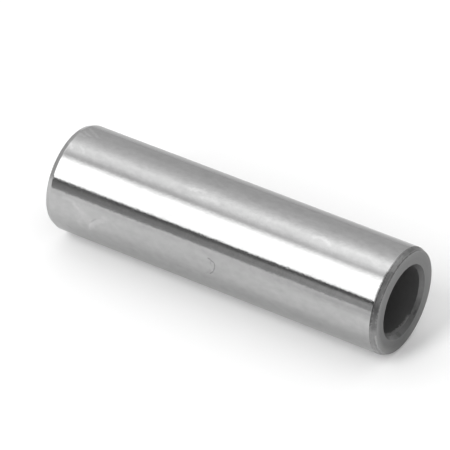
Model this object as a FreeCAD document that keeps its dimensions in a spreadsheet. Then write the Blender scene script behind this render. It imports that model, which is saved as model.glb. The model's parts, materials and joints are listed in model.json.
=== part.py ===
import FreeCAD, Part
import Sketcher

import os

# A gudgeon pin: the hollow steel pin that joins a piston to the small end of its connecting rod.
# It is one turned, bored, hardened and ground piece. It stands on its lower end face, which lies on z = 0,
# with +Z along its axis and the origin at the middle of that face. All sizes are in millimetres.

# Driving sizes
SIZES = {
    # Outside of the ground bearing surface, and the whole pin from end face to end face
    "pin_diameter": 22.0,
    "pin_length": 76.0,
    # Steel between the bearing surface and the bore
    "wall_thickness": 4.0,
    # Shallow lead-in chamfer at each end: how far it runs along the pin, and how far it comes in
    "lead_length": 1.15,
    "lead_depth": 0.48,
    # 45 degree chamfer at each mouth of the bore, the same both ways
    "mouth_chamfer": 0.78,
    # Blend where the bearing surface turns into the lead-in, and where the lead-in turns into the end face
    "shoulder_radius": 0.6,
    "face_edge_radius": 0.3,
}

# Sketch geometry numbers that stand for the sketch's own axes and origin, and the two ends of a line
HORIZONTAL_AXIS = -1
ORIGIN = (-1, 1)
LINE_START = 1
LINE_END = 2


def size_sheet(document):
    """The spreadsheet that holds every driving size under its own name."""
    sheet = document.addObject("Spreadsheet::Sheet", "sizes")
    for row, (name, value) in enumerate(SIZES.items(), start=1):
        sheet.set(f"A{row}", name)
        sheet.set(f"B{row}", str(value))
        sheet.setAlias(f"B{row}", name)
    document.recompute()
    return sheet


def origin_plane(body, role):
    """One of the body's own three reference planes."""
    return next(feature for feature in body.Origin.OriginFeatures if feature.Role == role)


def closed_outline(sketch, corners):
    """Straight lines from corner to corner and back to the first, joined end to end."""
    starts = [FreeCAD.Vector(across, along, 0) for across, along in corners]
    ends = starts[1:] + starts[:1]
    lines = [sketch.addGeometry(Part.LineSegment(start, end)) for start, end in zip(starts, ends)]
    for line, following in zip(lines, lines[1:] + lines[:1]):
        sketch.addConstraint(Sketcher.Constraint("Coincident", line, LINE_END, following, LINE_START))
    return lines


def follow(sketch, constraint, name, formula):
    """Names a constraint and lets it take its value from the sheet."""
    sketch.renameConstraint(constraint, name)
    sketch.setExpression(f"Constraints.{name}", formula)


def dimension(sketch, kind, first, second, name, formula):
    """A distance from one point to another, with the second point to the right of the first or above it."""
    distance = sketch.addConstraint(Sketcher.Constraint(kind, *first, *second, 1.0))
    follow(sketch, distance, name, formula)


def blend(sketch, corner, radius, name, formula):
    """A tangent arc in place of a corner. The corner stays as a point, which keeps its dimensions."""
    arc = sketch.GeometryCount
    sketch.fillet(*corner, radius, True, True)
    arc_radius = sketch.addConstraint(Sketcher.Constraint("Radius", arc, radius))
    follow(sketch, arc_radius, name, formula)


def wall_section(body, sheet):
    """Half of the pin's lengthwise section: the wall on one side of the axis, both ends included."""
    pin_radius = sheet.pin_diameter / 2
    bore_radius = pin_radius - sheet.wall_thickness
    face_radius = pin_radius - sheet.lead_depth
    mouth_radius = bore_radius + sheet.mouth_chamfer
    length = sheet.pin_length

    sketch = body.newObject("Sketcher::SketchObject", "wall_section")
    sketch.AttachmentSupport = [(origin_plane(body, "XZ_Plane"), "")]
    sketch.MapMode = "FlatFace"
    bore, upper_mouth, upper_face, upper_lead, bearing, lower_lead, lower_face, lower_mouth = closed_outline(
        sketch,
        [
            (bore_radius, sheet.mouth_chamfer),
            (bore_radius, length - sheet.mouth_chamfer),
            (mouth_radius, length),
            (face_radius, length),
            (pin_radius, length - sheet.lead_length),
            (pin_radius, sheet.lead_length),
            (face_radius, 0),
            (mouth_radius, 0),
        ],
    )
    lower_bore_end = (bore, LINE_START)
    upper_bore_end = (upper_mouth, LINE_START)
    upper_mouth_rim = (upper_face, LINE_START)
    upper_face_rim = (upper_lead, LINE_START)
    upper_shoulder = (bearing, LINE_START)
    lower_shoulder = (lower_lead, LINE_START)
    lower_face_rim = (lower_face, LINE_START)
    lower_mouth_rim = (lower_mouth, LINE_START)

    for line in (bore, bearing):
        sketch.addConstraint(Sketcher.Constraint("Vertical", line))
    for line in (upper_face, lower_face):
        sketch.addConstraint(Sketcher.Constraint("Horizontal", line))
    sketch.addConstraint(Sketcher.Constraint("PointOnObject", *lower_face_rim, HORIZONTAL_AXIS))
    sketch.addConstraint(Sketcher.Constraint("Vertical", *lower_face_rim, *upper_face_rim))
    sketch.addConstraint(Sketcher.Constraint("Vertical", *lower_mouth_rim, *upper_mouth_rim))

    across = "DistanceX"
    along = "DistanceY"
    dimension(sketch, across, ORIGIN, lower_shoulder, "pin_radius", "sizes.pin_diameter / 2")
    dimension(sketch, across, lower_bore_end, lower_shoulder, "wall_thickness", "sizes.wall_thickness")
    dimension(sketch, across, lower_face_rim, lower_shoulder, "lead_depth", "sizes.lead_depth")
    dimension(sketch, across, lower_bore_end, lower_mouth_rim, "mouth_width", "sizes.mouth_chamfer")
    dimension(sketch, along, lower_face_rim, upper_face_rim, "pin_length", "sizes.pin_length")
    dimension(sketch, along, lower_face_rim, lower_shoulder, "lower_lead_length", "sizes.lead_length")
    dimension(sketch, along, upper_shoulder, upper_face_rim, "upper_lead_length", "sizes.lead_length")
    dimension(sketch, along, lower_mouth_rim, lower_bore_end, "lower_mouth_depth", "sizes.mouth_chamfer")
    dimension(sketch, along, upper_bore_end, upper_mouth_rim, "upper_mouth_depth", "sizes.mouth_chamfer")

    # The outline takes its true size here, so that the arcs fit it
    sketch.recompute()
    edge_radius = sheet.face_edge_radius
    shoulder_radius = sheet.shoulder_radius
    blend(sketch, lower_face_rim, edge_radius, "lower_edge_radius", "sizes.face_edge_radius")
    blend(sketch, lower_shoulder, shoulder_radius, "lower_shoulder_radius", "sizes.shoulder_radius")
    blend(sketch, upper_face_rim, edge_radius, "upper_edge_radius", "sizes.face_edge_radius")
    blend(sketch, upper_shoulder, shoulder_radius, "upper_shoulder_radius", "sizes.shoulder_radius")
    return sketch


def gudgeon_pin(document, sheet):
    """The whole pin: its wall section turned about the axis."""
    body = document.addObject("PartDesign::Body", "gudgeon_pin")
    body.Label = "gudgeon_pin"
    section = wall_section(body, sheet)

    turned = body.newObject("PartDesign::Revolution", "turned_pin")
    turned.Profile = section
    turned.ReferenceAxis = (section, ["V_Axis"])
    turned.Angle = 360
    body.Placement = FreeCAD.Placement(FreeCAD.Vector(0, 0, 0), FreeCAD.Rotation())
    return body


def check(document, parts):
    """Stops if anything failed to build, or if a part is empty or isn't one sound solid."""
    for item in document.Objects:
        if {"Invalid", "Error"} & set(item.State):
            raise RuntimeError(f"{item.Label} failed to build: {item.State}")
    for part in parts:
        if part.Shape.isNull() or not part.Shape.isValid() or len(part.Shape.Solids) != 1:
            raise RuntimeError(f"{part.Label} isn't one sound solid")


def main():
    document = FreeCAD.newDocument("gudgeon_pin")
    sheet = size_sheet(document)
    parts = [gudgeon_pin(document, sheet)]
    document.recompute()
    check(document, parts)
    os.makedirs("parts", exist_ok=True)
    for part in parts:
        part.Shape.exportStep(os.path.join("parts", f"{part.Label}.step"))


main()
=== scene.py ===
import cmath
import json
import math

import bpy
from mathutils import Matrix, Vector


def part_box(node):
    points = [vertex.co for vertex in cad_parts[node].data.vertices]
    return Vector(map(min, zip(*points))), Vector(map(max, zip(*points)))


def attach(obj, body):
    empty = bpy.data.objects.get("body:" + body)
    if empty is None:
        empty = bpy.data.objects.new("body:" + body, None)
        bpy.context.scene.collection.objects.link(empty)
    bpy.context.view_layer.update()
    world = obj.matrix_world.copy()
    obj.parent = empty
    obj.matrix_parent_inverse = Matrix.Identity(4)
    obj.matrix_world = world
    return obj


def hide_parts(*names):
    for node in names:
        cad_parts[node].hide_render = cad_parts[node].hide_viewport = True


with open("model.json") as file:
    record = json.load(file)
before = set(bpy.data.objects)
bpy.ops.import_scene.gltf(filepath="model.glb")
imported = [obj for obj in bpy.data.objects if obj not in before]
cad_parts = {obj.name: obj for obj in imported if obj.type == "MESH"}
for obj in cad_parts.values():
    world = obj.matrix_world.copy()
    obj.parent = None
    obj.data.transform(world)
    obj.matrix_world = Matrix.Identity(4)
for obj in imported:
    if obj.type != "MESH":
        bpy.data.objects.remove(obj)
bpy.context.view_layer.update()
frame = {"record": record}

MM = 0.001
MICRON = 0.000001

# The pin stands on its lower end face, with +Z along its axis. In the photograph it lies on its side, so
# the floor here is upright: it touches the side of the standing pin, and the camera is turned with it.
# Angles around the pin go from the floor on the camera's side up over the pin to the floor behind it.
AXIS = Vector((0, 0, 1))
FLOOR_NORMAL = Vector((1, -1, 0)).normalized()
FLOOR_ALONG = Vector((1, 1, 0)).normalized()


def mount_size(mount_name, size_name):
    """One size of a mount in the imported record, in metres."""
    mount = next(m for m in frame["record"]["mounts"] if m["name"] == mount_name)
    return mount["dims"][size_name] * MM


# Sizes of the pin's section
PIN_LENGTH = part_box("gudgeon_pin")[1].z
PIN_RADIUS = mount_size("bearing_surface", "r_mm")
BORE_RADIUS = mount_size("through_bore", "r_mm")
MOUTH_CHAMFER = (PIN_LENGTH - mount_size("through_bore", "length_mm")) / 2
LEAD_LENGTH = 1.15 * MM
LEAD_DEPTH = 0.48 * MM
SHOULDER_RADIUS = 0.6 * MM
FACE_EDGE_RADIUS = 0.3 * MM
MOUTH_EDGE_RADIUS = 0.06 * MM

# How finely the section is turned into a mesh
STEPS_AROUND = 384
STEPS_IN_ARC = 8
LONGEST_STEP = 3.2 * MM

# How much light each finish keeps at a slant, as a share of what a perfect metal would
GROUND_SLANT_SHARE = 0.88
TURNED_SLANT_SHARE = 0.7

# The noise of a grain: how much its fine detail counts, and the values between which it is spread out
# over 0 to 1
NOISE_ROUGHNESS = 0.55
NOISE_FROM = 0.27
NOISE_TO = 0.73

# Ground steel: the grey of each layer of its colour, and how strongly it lies over the layers below it
GROUND_DARK = 0.43
GROUND_LIGHT = 0.468
STREAK_GREY = 0.56
STREAK_STRENGTH = 0.62
SCRATCH_GREY = 0.4
SCRATCH_STRENGTH = 0.25
GROUND_RIM_GREY = 0.56
GROUND_RIM_STRENGTH = 0.3
HAZE_GREY = 0.7
HAZE_STRENGTH = 0.1
# Heights in millimetres between which the thin haze on the far end fades out
HAZE_FROM = 8.0
HAZE_TO = 22.0
# Its roughness, and what its mottling and its scratches add to that
GROUND_ROUGHNESS = 0.09
MOTTLE_ROUGHNESS = 0.02
SCRATCH_ROUGHNESS = 0.08
# Its relief in micrometres: the lay of the grinding, a fine ripple, long waves and the scratches
LAY_HEIGHT = 0.05
RIPPLE_HEIGHT = 5.5
WAVE_HEIGHT = 1.0
SCRATCH_DEPTH = 0.4

# Turned steel: how much its tool lines count beside its patches, how many times as pale as its light grey
# the rubbed places and the painted highlights are, and how strongly its rims are rubbed
TOOL_LINE_SHARE = 0.3
RUBBED_GAIN = 1.35
PAINTED_HIGHLIGHT_GAIN = 2.0
TURNED_RIM_STRENGTH = 0.15
# What its patches and its rims add to its roughness, and how high its fine grain is beside its tool lines
PATCH_ROUGHNESS = 0.1
TURNED_RIM_ROUGHNESS = -0.1
GRAIN_HEIGHT_SHARE = 0.4
# Radii in millimetres between which the outer ring of the end face fades in
OUTER_RING_FROM = 8.8
OUTER_RING_TO = 10.2

# Painted highlights, which stand in for light on the lower side of the near end: the middle of that side
# and how far they spread as angles in degrees, and the heights in millimetres between which they fade in
LEAD_PAINTED_HIGHLIGHT = {"Angle": -44, "Spread": 42, "From_Height": 76.1, "To_Height": 75.3}
FACE_PAINTED_HIGHLIGHT = {"Angle": -30, "Spread": 80, "From_Height": 70, "To_Height": 71}
MOUTH_PAINTED_HIGHLIGHT = {"Angle": -50, "Spread": 80, "From_Height": 70, "To_Height": 71}

# Marks that the photograph shows, and painted light laid on the same way. Each is an arc through three
# places, which are a height in millimetres and an angle in degrees, with its width in millimetres, its
# strength and its grey.
DARK_MARK = 0.1
PALE_MARK = 0.75
SIDE_MARKS = [
    (((38.1, 11.2), (39.1, 9.7), (39.9, 7.6)), 0.18, 0.4, DARK_MARK),
    (((39.8, 9.0), (39.7, -1.5), (38.6, -8.0)), 0.18, 0.38, DARK_MARK),
    (((39.2, 1.0), (38.6, -5.5), (37.6, -9.5)), 0.35, 0.12, DARK_MARK),
    (((38.9, 9.0), (39.0, 6.6), (39.2, 4.6)), 0.14, 0.2, DARK_MARK),
    (((6.4, 16.5), (9.0, 6.0), (11.9, -14.0)), 1.3, 0.16, PALE_MARK),
    (((15.4, 12.6), (12.4, 1.5), (10.0, -13.0)), 0.8, 0.19, PALE_MARK),
    (((11.2, 1.5), (10.8, -5.0), (10.5, -14.5)), 0.4, 0.26, PALE_MARK),
    (((7.9, 1.0), (8.4, -9.0), (8.2, -19.0)), 1.0, 0.17, PALE_MARK),
    (((10.8, -3.0), (11.6, 2.3), (12.5, 6.5)), 0.2, 0.16, DARK_MARK),
    (((3.6, 15.0), (5.5, 16.0), (7.4, 13.8)), 0.45, 0.22, PALE_MARK),
    (((6.4, 14.6), (7.5, 10.9), (8.6, 8.0)), 0.45, 0.28, PALE_MARK),
    (((4.4, -19.0), (5.2, -22.0), (5.9, -25.0)), 0.25, 0.25, DARK_MARK),
    (((28.6, 70.0), (30.8, 74.6), (33.6, 75.0)), 0.6, 0.24, PALE_MARK),
    (((31.4, 66.0), (34.0, 69.2), (37.2, 66.6)), 0.5, 0.16, PALE_MARK),
    (((36.2, 69.2), (39.0, 68.9), (42.4, 69.6)), 0.35, 0.28, PALE_MARK),
    (((57.2, 68.5), (59.0, 73.8), (61.9, 66.0)), 0.55, 0.2, PALE_MARK),
    (((3.2, 74.6), (4.5, 70.3), (5.4, 65.0)), 0.4, 0.16, PALE_MARK),
    (((0.4, 75.0), (1.6, 70.3), (2.5, 64.4)), 0.45, 0.24, PALE_MARK),
    (((1.2, 104.6), (3.4, 98.6), (5.6, 91.4)), 0.5, 0.26, PALE_MARK),
    (((1.1, 96.4), (2.6, 92.4), (4.2, 88.6)), 0.45, 0.22, PALE_MARK),
    (((0.3, 92.0), (1.7, 88.8), (3.3, 87.6)), 0.4, 0.2, PALE_MARK),
    (((74.76, 27.0), (74.77, 46.0), (74.76, 66.0)), 0.26, 0.6, DARK_MARK),
]
LEAD_MARKS_AND_HIGHLIGHT = [
    (((74.87, 4.0), (74.89, 35.0), (74.87, 66.0)), 0.3, 0.75, DARK_MARK),
    (((75.4, -3.0), (75.45, 14.0), (75.4, 32.0)), 0.75, 0.62, DARK_MARK),
    (((75.4, 34.0), (75.42, 44.0), (75.4, 56.0)), 0.5, 0.25, DARK_MARK),
    (((75.1, 66.0), (75.4, 59.0), (75.3, 50.0)), 0.35, 0.3, DARK_MARK),
    (((75.4, 65.0), (75.38, 79.0), (75.4, 94.0)), 0.5, 0.2, PALE_MARK),
    (((75.3, 98.0), (75.35, 106.0), (75.3, 115.0)), 0.45, 0.35, DARK_MARK),
    # A painted highlight, laid on like a mark, on the lower side by the end face
    (((75.9, -5.0), (75.93, -28.0), (75.9, -52.0)), 0.2, 0.3, PALE_MARK),
]
MOUTH_MARKS = [
    (((75.7, -125.0), (75.71, -130.0), (75.7, -135.0)), 0.22, 0.8, DARK_MARK),
    (((75.5, -54.0), (75.6, -66.0), (75.8, -78.0)), 0.5, 0.22, DARK_MARK),
    (((75.45, -74.0), (75.62, -82.0), (75.85, -89.0)), 0.45, 0.45, DARK_MARK),
]
# Painted light, laid on like a mark: the lower wall just inside the bore's mouth, where light falls in
BORE_PAINTED_LIGHT = [
    (((75.25, -125.0), (75.1, -96.0), (74.2, -46.0)), 0.72, 0.36, PALE_MARK),
]
# A mark is solid over this share of its width, and its two ends fade in over this many widths
MARK_SOLID_SHARE = 0.3
MARK_END_WIDTHS = 2

# The photographer's light that only reflections show: a half tunnel of panels over the pin
TUNNEL_RADIUS = 0.8
TUNNEL_END = 1.4
# Degrees from one line of the tunnel's points to the next, beside the lines at the panels' edges
TUNNEL_STEP = 3
# Each panel's first and last angle in degrees, its levels there towards the pin's far end, and those
# towards the near end. From one panel to the next, the level changes evenly.
PANELS = {
    "flag": (0, 5, (0.42, 0.31), (0.58, 0.42)),
    "flag_middle": (8, 13, (0.26, 0.24), (0.5, 0.54)),
    "flag_edge": (16.5, 22.8, (0.18, 0.06), (0.16, 0.0)),
    "softbox": (23.5, 63.4, (2.15, 2.3), (2.2, 2.3)),
    "gap": (76, 79, (0.71, 0.74), (0.95, 1.0)),
    "overhead": (90, 103, (1.2, 1.34), (1.53, 1.68)),
    "rear_wall": (120, 132, (0.93, 0.74), (0.95, 0.76)),
    "rear_floor": (150, 180, (0.63, 0.58), (0.66, 0.6)),
}
FAR_WALL_LEVEL = 0.56
ROOM_LEVEL = 0.4
# Rings along the tunnel, from its far wall: height, radius, how near in the panels' levels, and how much
# of a plain wall instead of panels, with that wall's level
TUNNEL_RINGS = [
    (-TUNNEL_END, 0, 0, 1, FAR_WALL_LEVEL),
    (-TUNNEL_END, TUNNEL_RADIUS, 0, 1, FAR_WALL_LEVEL),
    (-TUNNEL_END, TUNNEL_RADIUS, 0, 0, 0),
    (-0.43, TUNNEL_RADIUS, 0, 0, 0),
    (-0.33, TUNNEL_RADIUS, 0.35, 0, 0),
    (-0.26, TUNNEL_RADIUS, 1, 0, 0),
    (0.16, TUNNEL_RADIUS, 1, 0, 0),
    (0.26, TUNNEL_RADIUS, 1, 1, ROOM_LEVEL),
    (TUNNEL_END, TUNNEL_RADIUS, 1, 1, ROOM_LEVEL),
    (TUNNEL_END, 0, 1, 1, ROOM_LEVEL),
]

# The floor as the camera sees it: its colour, and a glow that lifts it to white away from the shadow
FLOOR_SIZE = 6.0
FLOOR_SEEN = 0.93
FLOOR_GLOW = 0.07
# The floor as anything but the camera sees it, above all the pin's mirror image: its level, how it dims
# with distance from the pin, how it is shaded under and behind the pin up to a line in front of it, and
# how it brightens towards the pin's two ends
FLOOR_MIRRORED = 0.78
FLOOR_DIMS_FROM = 20 * MM
FLOOR_DIMS_TO = 120 * MM
FLOOR_DIMMED = 0.84
SHADE_FROM = 14 * MM
SHADE_TO = 22 * MM
SHADE_LEVEL = 0.91
FAR_END_FROM = 22 * MM
FAR_END_TO = -12 * MM
FAR_END_GAIN = 0.045
NEAR_END_FROM = 30 * MM
NEAR_END_TO = 52 * MM
NEAR_END_GAIN = 0.075
# Unseen by the camera too: a darker line on the floor in front of the pin, towards its near end
LINE_ACROSS = 12 * MM
LINE_WIDTH = 6 * MM
LINE_FROM = 20 * MM
LINE_TO = 50 * MM
LINE_DEPTH = 0.1
# Unseen by the camera too: a soft shadow behind the pin's far end
FAR_SHADOW_PLACE = -30 * MM * FLOOR_ALONG - 12 * MM * AXIS
FAR_SHADOW_REACH = 52 * MM
FAR_SHADOW_DEPTH = 0.25
# Unseen by the camera too: a faint shadow that lies aslant on the floor in front of the near end
ASLANT = 0.55
ASLANT_FROM = 65 * MM
ASLANT_TO = 80 * MM
ASLANT_ACROSS_FROM = 42 * MM
ASLANT_ACROSS_TO = 56 * MM
ASLANT_DEPTH = 0.12
# In mirror images only: light on the floor close under the pin, which would otherwise mirror its own
# shadow and look black from behind. It fades out towards the pin's two ends, at shares of its length from
# its middle.
UNDER_ACROSS = -9 * MM
UNDER_REACH = 12 * MM
UNDER_GLOW = 0.45
UNDER_ENDS_FROM = 0.44
UNDER_ENDS_TO = 0.5

# A dome of light on what scatters it, a little darker towards the near end
DOME_LEVEL = 0.83
DOME_SLOPE = 0.2
# The backdrop that shows from behind, a little darker than white, so that the white band along the pin's
# edge stands out from it
BACKDROP_LEVEL = 0.84

# The one soft lamp
LAMP_LEVEL = 0.33
LAMP_DISTANCE = 1.2
LAMP_ACROSS_PIN = 0.9
LAMP_ALONG_PIN = 0.25
LAMP_ABOVE_FLOOR = math.radians(41)
LAMP_FROM_ACROSS = math.radians(-14)

# Camera, measured on the photograph's rims
VIEW_TO_AXIS = math.radians(64.46)
VIEW_ABOVE_FLOOR = math.radians(36.97)
VIEW_DISTANCE = 0.7603
VIEW_LENS = 311.3
SENSOR_WIDTH = 36.0
AIM_ABOVE_AXIS = 1.98 * MM
AIM_BEHIND_AXIS = 0.055 * MM
AIM_BELOW_MIDDLE = 2.72 * MM
FARTHEST_SEEN = 20.0


# Section and mesh


def arc_at_corner(before, corner, after, radius):
    """The tangent arc that rounds one corner of an outline, as pairs of a point and the direction that is
    outward there."""
    to_before = (before - corner).normalized()
    to_after = (after - corner).normalized()
    half_angle = to_before.angle(to_after) / 2
    centre = corner + (to_before + to_after).normalized() * radius / math.sin(half_angle)
    reach = radius / math.tan(half_angle)
    start = (corner + to_before * reach - centre).normalized()
    end = (corner + to_after * reach - centre).normalized()
    directions = [start.slerp(end, step / STEPS_IN_ARC) for step in range(STEPS_IN_ARC + 1)]
    return [(centre + outward * radius, outward) for outward in directions]


def wall_section():
    """The wall's section, once around it, as rows of a point (radius, height), its outward direction, its
    distance from the nearest rim and the finish of the stretch that follows."""
    face_radius = PIN_RADIUS - LEAD_DEPTH
    mouth_radius = BORE_RADIUS + MOUTH_CHAMFER
    # Each corner with its radius, the finish of its arc and the finish of the flat stretch after it
    corners = [
        ((BORE_RADIUS, PIN_LENGTH - MOUTH_CHAMFER), MOUTH_EDGE_RADIUS, "bore_mouth", "bore_mouth"),
        ((mouth_radius, PIN_LENGTH), MOUTH_EDGE_RADIUS, "bore_mouth", "end_face"),
        ((face_radius, PIN_LENGTH), FACE_EDGE_RADIUS, "lead_in", "lead_in"),
        ((PIN_RADIUS, PIN_LENGTH - LEAD_LENGTH), SHOULDER_RADIUS, "lead_in", "bearing"),
        ((PIN_RADIUS, LEAD_LENGTH), SHOULDER_RADIUS, "bearing", "bearing"),
        ((face_radius, 0), FACE_EDGE_RADIUS, "lead_in", "end_face"),
        ((mouth_radius, 0), MOUTH_EDGE_RADIUS, "bore_mouth", "bore_mouth"),
        ((BORE_RADIUS, MOUTH_CHAMFER), MOUTH_EDGE_RADIUS, "bore_mouth", "bore"),
    ]
    points = [Vector(place) for place, _, _, _ in corners]
    following = points[1:] + points[:1]
    before = points[-1:] + points[:-1]
    arcs = [
        arc_at_corner(*neighbours, corner[1])
        for *neighbours, corner in zip(before, points, following, corners)
    ]
    rows = []
    for arc, next_arc, (_, _, arc_finish, flat_finish) in zip(arcs, arcs[1:] + arcs[:1], corners):
        rows += [(point, outward, 0.0, arc_finish) for point, outward in arc[:-1]]
        start, outward = arc[-1]
        end = next_arc[0][0]
        length = (end - start).length
        steps = max(2, math.ceil(length / LONGEST_STEP))
        for step in range(steps):
            share = step / steps
            rim_distance = min(share, 1 - share) * length
            rows.append((start.lerp(end, share), outward, rim_distance, flat_finish))
    return rows


def turned_mesh(name, rows, finishes):
    """A section turned about the axis into a closed mesh, with a material for each finish."""
    turns = [2 * math.pi * step / STEPS_AROUND for step in range(STEPS_AROUND)]
    circle = [(math.cos(turn), math.sin(turn)) for turn in turns]
    points = [(place.x * x, place.x * y, place.y) for place, *_ in rows for x, y in circle]
    normals = [(outward.x * x, outward.x * y, outward.y) for _, outward, *_ in rows for x, y in circle]
    rim_distances = [rim_distance / MM for _, _, rim_distance, _ in rows for _ in circle]
    slots = [list(finishes).index(finish) for *_, finish in rows for _ in circle]
    faces = []
    for row in range(len(rows)):
        here = row * STEPS_AROUND
        following = (row + 1) % len(rows) * STEPS_AROUND
        for step in range(STEPS_AROUND):
            beside = (step + 1) % STEPS_AROUND
            faces.append((here + step, following + step, following + beside, here + beside))

    mesh = bpy.data.meshes.new(name)
    mesh.from_pydata(points, [], faces)
    for material in finishes.values():
        mesh.materials.append(material)
    mesh.polygons.foreach_set("material_index", slots)
    mesh.attributes.new("rim_distance", "FLOAT", "POINT").data.foreach_set("value", rim_distances)
    mesh.shade_smooth()
    mesh.normals_split_custom_set_from_vertices(normals)
    return mesh


def new_object(name, data):
    """An object in the scene for a mesh, lamp or camera."""
    made = bpy.data.objects.new(name, data)
    bpy.context.scene.collection.objects.link(made)
    return made


# Nodes


def add_node(tree, kind, inputs=None, **settings):
    """A node in a tree. Each input takes a plain value or is joined to another node's output."""
    made = tree.nodes.new(kind)
    for name, value in settings.items():
        setattr(made, name, value)
    for key, value in (inputs or {}).items():
        if isinstance(value, bpy.types.NodeSocket):
            tree.links.new(value, made.inputs[key])
        else:
            made.inputs[key].default_value = value
    return made


def maths(tree, operation, *values):
    """The result of one sum on plain values and other nodes' outputs."""
    return add_node(tree, "ShaderNodeMath", dict(enumerate(values)), operation=operation).outputs[0]


def product(tree, first, *others):
    """All the values multiplied together."""
    for value in others:
        first = maths(tree, "MULTIPLY", first, value)
    return first


def distance_from(tree, value, middle):
    """How far a value is from a middle one, either way."""
    return maths(tree, "ABSOLUTE", maths(tree, "SUBTRACT", value, middle))


def diagonal(tree, across, along):
    """The straight distance to a place that lies this far across and this far along."""
    squares = [maths(tree, "POWER", side, 2) for side in (across, along)]
    return maths(tree, "SQRT", maths(tree, "ADD", *squares))


def fade(tree, value, start, end, low=0.0, high=1.0):
    """A smooth change from low to high while the value goes from start to end."""
    inputs = {"Value": value, "From Min": start, "From Max": end, "To Min": low, "To Max": high}
    return add_node(tree, "ShaderNodeMapRange", inputs, interpolation_type="SMOOTHSTEP").outputs["Result"]


def grey(level):
    """A plain grey as a colour."""
    return (level, level, level, 1)


def mix_colours(tree, share, first, second):
    """The first colour, turning into the second where the share is 1. The sockets go by number, because
    the node has others of the same names."""
    return add_node(tree, "ShaderNodeMix", {0: share, 6: first, 7: second}, data_type="RGBA").outputs[2]


def mix_levels(tree, share, first, second):
    """The first level, turning into the second where the share is 1."""
    inputs = {"Factor": share, "A": first, "B": second}
    return add_node(tree, "ShaderNodeMix", inputs).outputs["Result"]


def new_group(name, inputs, output):
    """An empty node group with named number inputs, each with its usual value, and one number output."""
    group = bpy.data.node_groups.new(name, "ShaderNodeTree")
    for label, value in inputs.items():
        socket = group.interface.new_socket(label, in_out="INPUT", socket_type="NodeSocketFloat")
        socket.default_value = value
    group.interface.new_socket(output, in_out="OUTPUT", socket_type="NodeSocketFloat")
    given = group.nodes.new("NodeGroupInput").outputs
    result = group.nodes.new("NodeGroupOutput").inputs[output]
    return group, given, result


def placed(tree, group, **inputs):
    """The output of a group in a material or in another group, with its inputs set or joined to these. An
    underscore in a name stands for a space."""
    named = {label.replace("_", " "): value for label, value in inputs.items()}
    return add_node(tree, "ShaderNodeGroup", named, node_tree=group).outputs[0]


def turned_place(tree):
    """A point's place on a turned piece, in millimetres: its two places across the axis, as they would be
    on a circle as wide as the pin, its height and its true radius."""
    place = add_node(tree, "ShaderNodeTexCoord").outputs["Object"]
    split = add_node(tree, "ShaderNodeSeparateXYZ", {0: place}).outputs
    radius = diagonal(tree, split["X"], split["Y"])
    spread = maths(tree, "DIVIDE", PIN_RADIUS / MM, radius)
    x = maths(tree, "MULTIPLY", split["X"], spread)
    y = maths(tree, "MULTIPLY", split["Y"], spread)
    return x, y, maths(tree, "DIVIDE", split["Z"], MM), maths(tree, "DIVIDE", radius, MM)


def turn_from(tree, x, y, degrees):
    """How far a place is turned around the pin from an angle, in radians and the shorter way round."""
    angle = maths(tree, "ARCTAN2", maths(tree, "SUBTRACT", x, y), maths(tree, "ADD", x, y))
    turn = maths(tree, "SUBTRACT", angle, maths(tree, "RADIANS", degrees))
    return maths(tree, "WRAP", turn, math.pi, -math.pi)


# Node groups that the finishes share


def turned_grain():
    """Node group: noise that follows the lay of turned work, with a grain length along the wall's section
    and another around the axis, in millimetres."""
    group, given, result = new_group(
        "turned grain", {"Along": 1.0, "Around": 1.0, "Detail": 2.0, "Seed": 0.0}, "Grain"
    )
    x, y, height, radius = turned_place(group)
    where = {
        "X": maths(group, "DIVIDE", x, given["Around"]),
        "Y": maths(group, "DIVIDE", y, given["Around"]),
        "Z": maths(group, "DIVIDE", height, given["Along"]),
    }
    inputs = {
        "Vector": add_node(group, "ShaderNodeCombineXYZ", where).outputs[0],
        "W": maths(group, "ADD", maths(group, "DIVIDE", radius, given["Along"]), given["Seed"]),
        "Scale": 1.0,
        "Detail": given["Detail"],
        "Roughness": NOISE_ROUGHNESS,
    }
    noise = add_node(group, "ShaderNodeTexNoise", inputs, noise_dimensions="4D").outputs[0]
    spread_out = {"Value": noise, "From Min": NOISE_FROM, "From Max": NOISE_TO}
    group.links.new(add_node(group, "ShaderNodeMapRange", spread_out).outputs["Result"], result)
    return group


def hairlines(grain):
    """Node group: fine broken scratches, where a stretched noise passes its middle value."""
    group, given, result = new_group(
        "hairlines", {"Along": 2.0, "Around": 9.0, "Width": 0.01, "Share": 0.3, "Seed": 0.0}, "Mask"
    )
    lines = placed(
        group, grain, Along=given["Along"], Around=given["Around"], Detail=1.0, Seed=given["Seed"]
    )
    line = fade(group, distance_from(group, lines, 0.5), 0.0, given["Width"], 1.0, 0.0)
    patches = placed(group, grain, Along=given["Along"], Around=given["Along"], Detail=2.0, Seed=7.0)
    shown = maths(group, "GREATER_THAN", patches, maths(group, "SUBTRACT", 1.0, given["Share"]))
    group.links.new(product(group, line, shown), result)
    return group


def rim_wear(grain):
    """Node group: wear beside the pin's rims, where the finish is rubbed bright, with a ragged border."""
    group, given, result = new_group("rim wear", {"Width": 0.2, "Raggedness": 0.15}, "Mask")
    distance = add_node(group, "ShaderNodeAttribute", attribute_name="rim_distance").outputs["Fac"]
    ragged = placed(group, grain, Along=0.3, Around=0.8, Detail=3.0, Seed=3.0)
    border = maths(group, "MULTIPLY_ADD", ragged, given["Raggedness"], distance)
    group.links.new(fade(group, border, 0.0, given["Width"], 1.0, 0.0), result)
    return group


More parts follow.
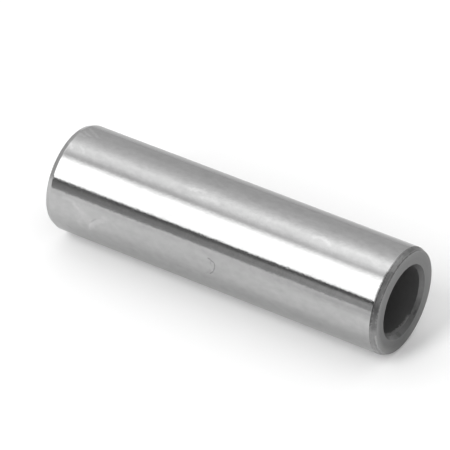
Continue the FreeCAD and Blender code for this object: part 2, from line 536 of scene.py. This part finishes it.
def arc_mark():
    """Node group: one soft line along an arc on the pin's side. The arc's centre is a height and an angle.
    Start and sweep are angles about the centre, from the direction along the pin towards the one around
    it. Ragged is a grain that makes the line's width uneven."""
    group, given, result = new_group(
        "arc mark",
        {
            "Height": 38.0,
            "Angle": 0.0,
            "Radius": 2.0,
            "Start": 0.0,
            "Sweep": 90.0,
            "Width": 0.1,
            "Ragged": 0.5,
        },
        "Mask",
    )
    x, y, height, _ = turned_place(group)
    around = maths(group, "MULTIPLY", turn_from(group, x, y, given["Angle"]), PIN_RADIUS / MM)
    along = maths(group, "SUBTRACT", height, given["Height"])
    off_arc = distance_from(group, diagonal(group, around, along), given["Radius"])

    direction = maths(group, "ARCTAN2", around, along)
    from_start = maths(group, "SUBTRACT", direction, maths(group, "RADIANS", given["Start"]))
    swept = maths(group, "WRAP", from_start, 2 * math.pi, 0.0)
    to_end = maths(group, "SUBTRACT", maths(group, "RADIANS", given["Sweep"]), swept)
    from_ends = maths(group, "MULTIPLY", maths(group, "MINIMUM", swept, to_end), given["Radius"])
    inside = fade(group, from_ends, 0.0, maths(group, "MULTIPLY", given["Width"], MARK_END_WIDTHS))

    uneven = maths(group, "MULTIPLY", maths(group, "SUBTRACT", given["Ragged"], 0.5), given["Width"])
    solid_width = maths(group, "MULTIPLY", given["Width"], MARK_SOLID_SHARE)
    line = fade(group, maths(group, "ADD", off_arc, uneven), solid_width, given["Width"], 1.0, 0.0)
    group.links.new(product(group, line, inside), result)
    return group


def painted_highlight_side():
    """Node group: a painted highlight on a turned surface, around one angle and between two heights."""
    group, given, result = new_group(
        "bright side", {"Angle": 0.0, "Spread": 60.0, "From Height": 0.0, "To Height": 1.0}, "Mask"
    )
    x, y, height, _ = turned_place(group)
    off_side = maths(group, "ABSOLUTE", turn_from(group, x, y, given["Angle"]))
    near = fade(group, off_side, 0.0, maths(group, "RADIANS", given["Spread"]), 1.0, 0.0)
    above = fade(group, height, given["From Height"], given["To Height"])
    group.links.new(product(group, near, above), result)
    return group


# Finishes


def arc_through(*places):
    """The arc through three places, each a height in millimetres and an angle in degrees, as the inputs of
    the arc mark group. It has to be bent enough for its centre to lie less than half a turn around."""
    spots = [complex(height, math.radians(angle) * PIN_RADIUS / MM) for height, angle in places]
    first, middle, last = spots
    shape = (last - first) / (middle - first)
    centre = first - (first - middle) * (shape - abs(shape) ** 2) / (2j * shape.imag)
    first_turn, middle_turn, last_turn = [cmath.phase(spot - centre) for spot in spots]
    sweep = (last_turn - first_turn) % (2 * math.pi)
    if (middle_turn - first_turn) % (2 * math.pi) > sweep:
        first_turn = last_turn
        sweep = 2 * math.pi - sweep
    return {
        "Height": centre.real,
        "Angle": math.degrees(centre.imag * MM / PIN_RADIUS),
        "Radius": abs(first - centre),
        "Start": math.degrees(first_turn),
        "Sweep": math.degrees(sweep),
    }


def marked(tree, groups, colour, marks):
    """A colour with each mark laid over it: its three places, its width, its strength and its grey."""
    ragged = placed(tree, groups["grain"], Along=0.4, Around=0.4, Detail=2.0, Seed=8.0)
    for places, width, strength, level in marks:
        mask = placed(tree, groups["arc"], Width=width, Ragged=ragged, **arc_through(*places))
        colour = mix_colours(tree, product(tree, mask, strength), colour, grey(level))
    return colour


def relief(tree, *layers):
    """The surface normal under layers of relief, each a value over the surface and its height in
    micrometres."""
    height = 0.0
    for value, micrometres in layers:
        height = maths(tree, "MULTIPLY_ADD", value, micrometres, height)
    return add_node(tree, "ShaderNodeBump", {"Height": height, "Distance": MICRON}).outputs["Normal"]


def metal(name, slant_share, metallic=1.0):
    """A material with a plain metal shader, and its tree and the shader's sockets."""
    material = bpy.data.materials.new(name)
    material.use_nodes = True
    tree = material.node_tree
    tree.nodes.clear()
    inputs = {"Metallic": metallic, "Specular Tint": grey(slant_share)}
    shader = add_node(tree, "ShaderNodeBsdfPrincipled", inputs)
    add_node(tree, "ShaderNodeOutputMaterial", {"Surface": shader.outputs[0]})
    return material, tree, shader.inputs


def join(tree, sockets, **outputs):
    """Joins outputs to a shader's sockets by name."""
    for name, output in outputs.items():
        tree.links.new(output, sockets[name.replace("_", " ")])


def ground_steel(groups):
    """The bearing surface: ground and superfinished, nearly a mirror, with a faint lay around the pin."""
    material, tree, sockets = metal("ground_steel", GROUND_SLANT_SHARE)
    grain = groups["grain"]
    mottle = placed(tree, grain, Along=9.0, Around=3.0, Detail=4.0, Seed=1.0)
    streaks = placed(tree, grain, Along=1.8, Around=1.2, Detail=4.0, Seed=6.0)
    lay = placed(tree, grain, Along=0.16, Around=9.0, Detail=2.0, Seed=2.0)
    ripple = placed(tree, grain, Along=0.3, Around=0.4, Detail=2.0, Seed=3.0)
    waves = placed(tree, grain, Along=4.0, Around=0.8, Detail=1.0, Seed=4.0)
    scratches = placed(
        tree, groups["hairlines"], Along=1.6, Around=7.0, Width=0.012, Share=0.28, Seed=5.0
    )
    worn = placed(tree, groups["wear"], Width=0.3, Raggedness=0.3)
    _, _, height, _ = turned_place(tree)
    haze = fade(tree, height, HAZE_FROM, HAZE_TO, HAZE_STRENGTH, 0.0)

    colour = mix_colours(tree, mottle, grey(GROUND_DARK), grey(GROUND_LIGHT))
    colour = mix_colours(tree, product(tree, streaks, STREAK_STRENGTH), colour, grey(STREAK_GREY))
    colour = mix_colours(tree, product(tree, scratches, SCRATCH_STRENGTH), colour, grey(SCRATCH_GREY))
    colour = mix_colours(tree, product(tree, worn, GROUND_RIM_STRENGTH), colour, grey(GROUND_RIM_GREY))
    colour = mix_colours(tree, haze, colour, grey(HAZE_GREY))
    colour = marked(tree, groups, colour, SIDE_MARKS)
    roughness = maths(tree, "MULTIPLY_ADD", mottle, MOTTLE_ROUGHNESS, GROUND_ROUGHNESS)
    roughness = maths(tree, "MULTIPLY_ADD", scratches, SCRATCH_ROUGHNESS, roughness)
    normal = relief(
        tree,
        (lay, LAY_HEIGHT),
        (ripple, RIPPLE_HEIGHT),
        (waves, WAVE_HEIGHT),
        (scratches, -SCRATCH_DEPTH),
    )
    join(tree, sockets, Base_Color=colour, Roughness=roughness, Normal=normal)
    return material


def turned_steel(
    name,
    groups,
    dark,
    light,
    roughness,
    pitch,
    patch,
    depth,
    metallic=1.0,
    ring_wear=0.0,
    bright=None,
    highlight_strength=0.0,
    marks=(),
):
    """A turned surface that isn't ground: satin, with its tool lines and darker patches. It goes from a
    dark grey to a light one. Pitch is that of its tool lines and patch the size of its patches, in
    millimetres, and depth is that of its relief, in micrometres. Bright and its strength give a painted
    highlight on one side. Where it has wear on its outer ring, that ring alone takes the painted highlight
    too."""
    material, tree, sockets = metal(name, TURNED_SLANT_SHARE, metallic)
    grain = groups["grain"]
    lines = placed(tree, grain, Along=pitch, Around=16.0, Detail=1.0, Seed=11.0)
    patches = placed(tree, grain, Along=0.5 * patch, Around=patch, Detail=4.0, Seed=12.0)
    grains = placed(tree, grain, Along=0.12, Around=0.2, Detail=1.0, Seed=13.0)
    worn = placed(tree, groups["wear"], Width=0.16, Raggedness=0.14)
    rubbed = grey(light * RUBBED_GAIN)

    patch_tone = product(tree, patches, 1 - TOOL_LINE_SHARE)
    tone = maths(tree, "MULTIPLY_ADD", lines, TOOL_LINE_SHARE, patch_tone)
    colour = mix_colours(tree, tone, grey(dark), grey(light))
    colour = mix_colours(tree, product(tree, worn, TURNED_RIM_STRENGTH), colour, rubbed)
    highlight_share = highlight_strength
    if ring_wear:
        *_, radius = turned_place(tree)
        outer_ring = fade(tree, radius, OUTER_RING_FROM, OUTER_RING_TO)
        colour = mix_colours(tree, product(tree, outer_ring, ring_wear), colour, rubbed)
        highlight_share = product(tree, outer_ring, highlight_strength)
    # A painted highlight on one side, paler than the light grey
    if bright:
        side = placed(tree, groups["bright"], **bright)
        colour = mix_colours(tree, product(tree, side, highlight_share), colour, grey(light * PAINTED_HIGHLIGHT_GAIN))
    colour = marked(tree, groups, colour, marks)
    rough = maths(tree, "MULTIPLY_ADD", patches, PATCH_ROUGHNESS, roughness - PATCH_ROUGHNESS / 2)
    rough = maths(tree, "MULTIPLY_ADD", worn, TURNED_RIM_ROUGHNESS, rough)
    normal = relief(tree, (lines, depth), (grains, GRAIN_HEIGHT_SHARE * depth))
    join(tree, sockets, Base_Color=colour, Roughness=rough, Normal=normal)
    return material


def lead_in_steel(groups):
    """The turned lead-in, with stains and painted highlights on the photographed side."""
    return turned_steel(
        "turned_lead_in",
        groups,
        dark=0.2,
        light=0.33,
        roughness=0.3,
        pitch=0.09,
        patch=1.5,
        depth=1.2,
        bright=LEAD_PAINTED_HIGHLIGHT,
        highlight_strength=0.6,
        marks=LEAD_MARKS_AND_HIGHLIGHT,
    )


def end_face_steel(groups):
    """The faced end, paler on its outer ring, which also takes a painted highlight on its lower side."""
    return turned_steel(
        "faced_end",
        groups,
        dark=0.217,
        light=0.28,
        roughness=0.38,
        pitch=0.14,
        patch=2.5,
        depth=1.5,
        ring_wear=0.2,
        bright=FACE_PAINTED_HIGHLIGHT,
        highlight_strength=0.38,
    )


def bore_mouth_steel(groups):
    """The chamfer at the bore's mouth, darker than the end face, with smudges and a painted highlight at
    the bottom.
    """
    return turned_steel(
        "chamfered_mouth",
        groups,
        dark=0.14,
        light=0.2,
        roughness=0.36,
        pitch=0.1,
        patch=1.2,
        depth=1.5,
        bright=MOUTH_PAINTED_HIGHLIGHT,
        highlight_strength=0.45,
        marks=MOUTH_MARKS,
    )


def bore_steel(groups):
    """The bore: dull and dark, as drawn and heat-treated, with painted light on its lower wall inside its
    mouth.
    """
    return turned_steel(
        "drawn_bore",
        groups,
        dark=0.12,
        light=0.15,
        roughness=0.6,
        pitch=0.3,
        patch=3.0,
        depth=2.0,
        metallic=0.4,
        marks=BORE_PAINTED_LIGHT,
    )


def gudgeon_pin():
    """The finished pin, in place of the plain solid."""
    grain = turned_grain()
    groups = {
        "grain": grain,
        "hairlines": hairlines(grain),
        "wear": rim_wear(grain),
        "arc": arc_mark(),
        "bright": painted_highlight_side(),
    }
    finishes = {
        "bearing": ground_steel(groups),
        "lead_in": lead_in_steel(groups),
        "end_face": end_face_steel(groups),
        "bore_mouth": bore_mouth_steel(groups),
        "bore": bore_steel(groups),
    }
    mesh = turned_mesh("gudgeon_pin_finished", wall_section(), finishes)
    pin = new_object("gudgeon_pin_finished", mesh)
    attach(pin, "root")
    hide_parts("gudgeon_pin")


# Floor


def shown_to_eye_or_gloss(tree):
    """1 for a ray from the camera, off a glossy surface or through glass, and 0 for scattered light."""
    rays = add_node(tree, "ShaderNodeLightPath").outputs
    seen = maths(tree, "MAXIMUM", rays["Is Camera Ray"], rays["Is Glossy Ray"])
    return maths(tree, "MAXIMUM", seen, rays["Is Transmission Ray"])


def floor_place(tree):
    """A point on the floor, how far it is from the pin's axis towards the camera, and its height along the
    pin."""
    place = add_node(tree, "ShaderNodeTexCoord").outputs["Object"]
    inputs = {0: place, 1: FLOOR_ALONG}
    across = add_node(tree, "ShaderNodeVectorMath", inputs, operation="DOT_PRODUCT").outputs["Value"]
    return place, across, add_node(tree, "ShaderNodeSeparateXYZ", {0: place}).outputs["Z"]


def under_glow(tree):
    """The light close under the pin, for mirror images only."""
    _, across, height = floor_place(tree)
    off_line = distance_from(tree, across, UNDER_ACROSS)
    off_middle = distance_from(tree, height, PIN_LENGTH / 2)
    ends_from = UNDER_ENDS_FROM * PIN_LENGTH
    ends_to = UNDER_ENDS_TO * PIN_LENGTH
    return product(
        tree,
        fade(tree, off_line, UNDER_REACH / 2, UNDER_REACH, UNDER_GLOW, 0.0),
        fade(tree, off_middle, ends_from, ends_to, 1.0, 0.0),
        add_node(tree, "ShaderNodeLightPath").outputs["Is Glossy Ray"],
    )


def mirrored_level(tree):
    """How pale the floor is in the pin's mirror image, from place to place."""
    place, across, height = floor_place(tree)
    off_pin = maths(tree, "ABSOLUTE", across)
    dimmed = FLOOR_MIRRORED * FLOOR_DIMMED

    off_line = distance_from(tree, across, LINE_ACROSS)
    line = fade(tree, off_line, 0.0, LINE_WIDTH, LINE_DEPTH, 0.0)
    line = product(tree, line, fade(tree, height, LINE_FROM, LINE_TO))

    inputs = {0: place, 1: FAR_SHADOW_PLACE - PIN_RADIUS * FLOOR_NORMAL}
    off_place = add_node(tree, "ShaderNodeVectorMath", inputs, operation="DISTANCE").outputs["Value"]

    reach = maths(tree, "MULTIPLY_ADD", across, ASLANT, height)
    aslant = fade(tree, reach, ASLANT_FROM, ASLANT_TO, 0.0, ASLANT_DEPTH)
    aslant = product(tree, aslant, fade(tree, across, ASLANT_ACROSS_FROM, ASLANT_ACROSS_TO))

    return product(
        tree,
        fade(tree, off_pin, FLOOR_DIMS_FROM, FLOOR_DIMS_TO, FLOOR_MIRRORED, dimmed),
        fade(tree, across, SHADE_FROM, SHADE_TO, SHADE_LEVEL, 1.0),
        fade(tree, height, FAR_END_TO, FAR_END_FROM, 1 + FAR_END_GAIN, 1.0),
        fade(tree, height, NEAR_END_FROM, NEAR_END_TO, 1.0, 1 + NEAR_END_GAIN),
        maths(tree, "SUBTRACT", 1.0, line),
        fade(tree, off_place, 0.0, FAR_SHADOW_REACH, 1 - FAR_SHADOW_DEPTH, 1.0),
        maths(tree, "SUBTRACT", 1.0, aslant),
    )


def floor_paint():
    """The floor's material: matt and pale in front, and clear from behind."""
    material = bpy.data.materials.new("floor")
    material.use_nodes = True
    tree = material.node_tree
    tree.nodes.clear()
    seen = add_node(tree, "ShaderNodeLightPath").outputs["Is Camera Ray"]
    level = mix_levels(tree, seen, mirrored_level(tree), FLOOR_SEEN)
    matt = add_node(tree, "ShaderNodeBsdfDiffuse", {"Color": level}).outputs[0]
    glow_level = maths(tree, "MULTIPLY_ADD", shown_to_eye_or_gloss(tree), FLOOR_GLOW, under_glow(tree))
    glow = add_node(tree, "ShaderNodeEmission", {"Strength": glow_level}).outputs[0]
    front = add_node(tree, "ShaderNodeAddShader", {0: matt, 1: glow}).outputs[0]
    behind = add_node(tree, "ShaderNodeBsdfTransparent").outputs[0]
    side = add_node(tree, "ShaderNodeNewGeometry").outputs["Backfacing"]
    either = add_node(tree, "ShaderNodeMixShader", {0: side, 1: front, 2: behind}).outputs[0]
    add_node(tree, "ShaderNodeOutputMaterial", {"Surface": either})
    return material


def studio_floor():
    """A pale floor that keeps the pin's shadow. It is clear from behind, so that it hides the pin from no
    side."""
    half = FLOOR_SIZE / 2
    middle = -PIN_RADIUS * FLOOR_NORMAL
    sides = ((-1, -1), (1, -1), (1, 1), (-1, 1))
    corners = [middle + half * (across * FLOOR_ALONG + up * AXIS) for across, up in sides]
    mesh = bpy.data.meshes.new("floor")
    mesh.from_pydata(corners, [], [(0, 1, 2, 3)])
    mesh.materials.append(floor_paint())
    new_object("floor", mesh)


# Lights and camera


def panel_level(angle, near):
    """The tunnel's light at an angle. Near is 0 towards the pin's far end and 1 towards the near end."""
    stops = []
    for start, end, far_levels, near_levels in PANELS.values():
        for stop, far_level, near_level in zip((start, end), far_levels, near_levels):
            stops.append((stop, far_level + (near_level - far_level) * near))
    for (start, first), (end, last) in zip(stops, stops[1:]):
        if start <= angle <= end:
            return first + (last - first) * (angle - start) / (end - start)
    return stops[-1][1]


def tunnel_mesh():
    """The half tunnel from floor to floor, closed by a plain wall at each end, with its light level at
    each point."""
    edges = [angle for start, end, _, _ in PANELS.values() for angle in (start, end)]
    angles = sorted(set(edges) | set(range(0, 181, TUNNEL_STEP)))
    points = []
    levels = []
    for height, radius, near, plain, plain_level in TUNNEL_RINGS:
        for angle in angles:
            turn = math.radians(angle)
            around = math.cos(turn) * FLOOR_ALONG + math.sin(turn) * FLOOR_NORMAL
            points.append(radius * around + height * AXIS)
            levels.append(plain * plain_level + (1 - plain) * panel_level(angle, near))
    faces = []
    columns = len(angles)
    for ring in range(len(TUNNEL_RINGS) - 1):
        for column in range(columns - 1):
            corner = ring * columns + column
            faces.append((corner, corner + 1, corner + 1 + columns, corner + columns))
    mesh = bpy.data.meshes.new("light_tunnel")
    mesh.from_pydata(points, [], faces)
    mesh.attributes.new("level", "FLOAT", "POINT").data.foreach_set("value", levels)
    return mesh


def tunnel_glow():
    """The tunnel's material: it glows at its level, but not for light that has been scattered."""
    material = bpy.data.materials.new("light_tunnel")
    material.use_nodes = True
    tree = material.node_tree
    tree.nodes.clear()
    level = add_node(tree, "ShaderNodeAttribute", attribute_name="level").outputs["Fac"]
    times_scattered = add_node(tree, "ShaderNodeLightPath").outputs["Diffuse Depth"]
    shown = maths(tree, "LESS_THAN", times_scattered, 1)
    glow = add_node(tree, "ShaderNodeEmission", {"Strength": product(tree, level, shown)}).outputs[0]
    add_node(tree, "ShaderNodeOutputMaterial", {"Surface": glow})
    return material


def light_tunnel():
    """The panels over the pin, which only its reflections show."""
    mesh = tunnel_mesh()
    mesh.materials.append(tunnel_glow())
    tunnel = new_object("light_tunnel", mesh)
    tunnel.visible_camera = False
    tunnel.visible_diffuse = False
    tunnel.visible_shadow = False


def placed_axes(right, up, back, place):
    """A matrix that puts an object in place, looking away from back."""
    matrix = Matrix((right, up, back)).transposed().to_4x4()
    matrix.translation = place
    return matrix


def soft_lamp():
    """One soft lamp, which casts the pin's shadow on the floor."""
    lamp = bpy.data.lights.new("soft_lamp", "AREA")
    lamp.shape = "RECTANGLE"
    lamp.size = LAMP_ACROSS_PIN
    lamp.size_y = LAMP_ALONG_PIN
    # The power that lights a white floor to the lamp's level, at this distance and slant
    lamp.energy = LAMP_LEVEL * (math.pi * LAMP_DISTANCE) ** 2 / math.sin(LAMP_ABOVE_FLOOR)
    back = math.sin(LAMP_ABOVE_FLOOR) * FLOOR_NORMAL
    back += math.cos(LAMP_ABOVE_FLOOR) * math.cos(LAMP_FROM_ACROSS) * FLOOR_ALONG
    back += math.cos(LAMP_ABOVE_FLOOR) * math.sin(LAMP_FROM_ACROSS) * AXIS
    right = AXIS.cross(back).normalized()
    place = AXIS * PIN_LENGTH / 2 + LAMP_DISTANCE * back
    made = new_object("soft_lamp", lamp)
    made.matrix_world = placed_axes(right, back.cross(right), back, place)
    made.visible_glossy = False


def dome():
    """A pale backdrop, and a weak dome of light on what scatters it."""
    world = bpy.data.worlds.new("studio")
    bpy.context.scene.world = world
    world.use_nodes = True
    tree = world.node_tree
    tree.nodes.clear()
    direction = add_node(tree, "ShaderNodeTexCoord").outputs["Generated"]
    towards_near_end = add_node(tree, "ShaderNodeSeparateXYZ", {0: direction}).outputs["Z"]
    dome_level = maths(tree, "MULTIPLY_ADD", towards_near_end, -DOME_SLOPE * DOME_LEVEL, DOME_LEVEL)
    level = mix_levels(tree, shown_to_eye_or_gloss(tree), dome_level, BACKDROP_LEVEL)
    background = add_node(tree, "ShaderNodeBackground", {"Color": grey(1), "Strength": level}).outputs[0]
    add_node(tree, "ShaderNodeOutputWorld", {"Surface": background})


def photo_camera():
    """The camera, where the photographer's camera was."""
    along_axis = math.cos(VIEW_TO_AXIS)
    above_floor = math.sin(VIEW_ABOVE_FLOOR)
    level = math.sqrt(1 - along_axis**2 - above_floor**2)
    back = along_axis * AXIS + above_floor * FLOOR_NORMAL + level * FLOOR_ALONG
    right = FLOOR_NORMAL.cross(back).normalized()
    up = back.cross(right)
    aim = (PIN_LENGTH / 2 - AIM_BELOW_MIDDLE) * AXIS
    aim += AIM_ABOVE_AXIS * FLOOR_NORMAL - AIM_BEHIND_AXIS * FLOOR_ALONG
    lens = bpy.data.cameras.new("photo_camera")
    lens.lens = VIEW_LENS
    lens.sensor_width = SENSOR_WIDTH
    lens.clip_end = FARTHEST_SEEN
    camera = new_object("photo_camera", lens)
    camera.matrix_world = placed_axes(right, up, back, aim + VIEW_DISTANCE * back)
    bpy.context.scene.camera = camera


gudgeon_pin()
studio_floor()
light_tunnel()
soft_lamp()
dome()
photo_camera()
bpy.context.scene.view_settings.view_transform = "Standard"
